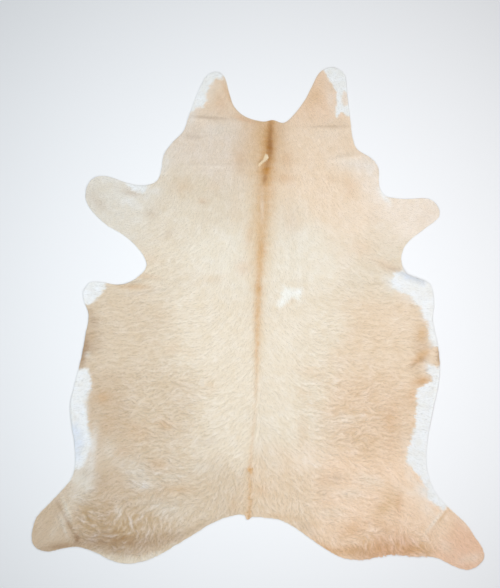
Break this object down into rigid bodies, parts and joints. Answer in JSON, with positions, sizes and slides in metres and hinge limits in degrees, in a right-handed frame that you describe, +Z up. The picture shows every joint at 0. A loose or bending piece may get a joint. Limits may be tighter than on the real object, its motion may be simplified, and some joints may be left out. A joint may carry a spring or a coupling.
{
  "type": "cowhide",
  "caption": "Whole hair-on cowhide laid flat: neck flaps, foreleg and hind leg flaps, soft creases, cream coat with a dark spine stripe and white flanks.",
  "frame": {"origin": "middle of the hide's outline, on the surface that it lies on", "axes": "+Y from the rump to the head end, +X to the right seen from above, +Z up from the skin side to the hair side"},
  "size_m": [2.1626, 2.4026, 0.011],
  "materials": {
    "hair": "short cream hair, soft sheen",
    "skin": "matt suede back and cut edge"
  },
  "bodies": {
    "root": {"hide": "hair"}
  },
  "joints": []
}
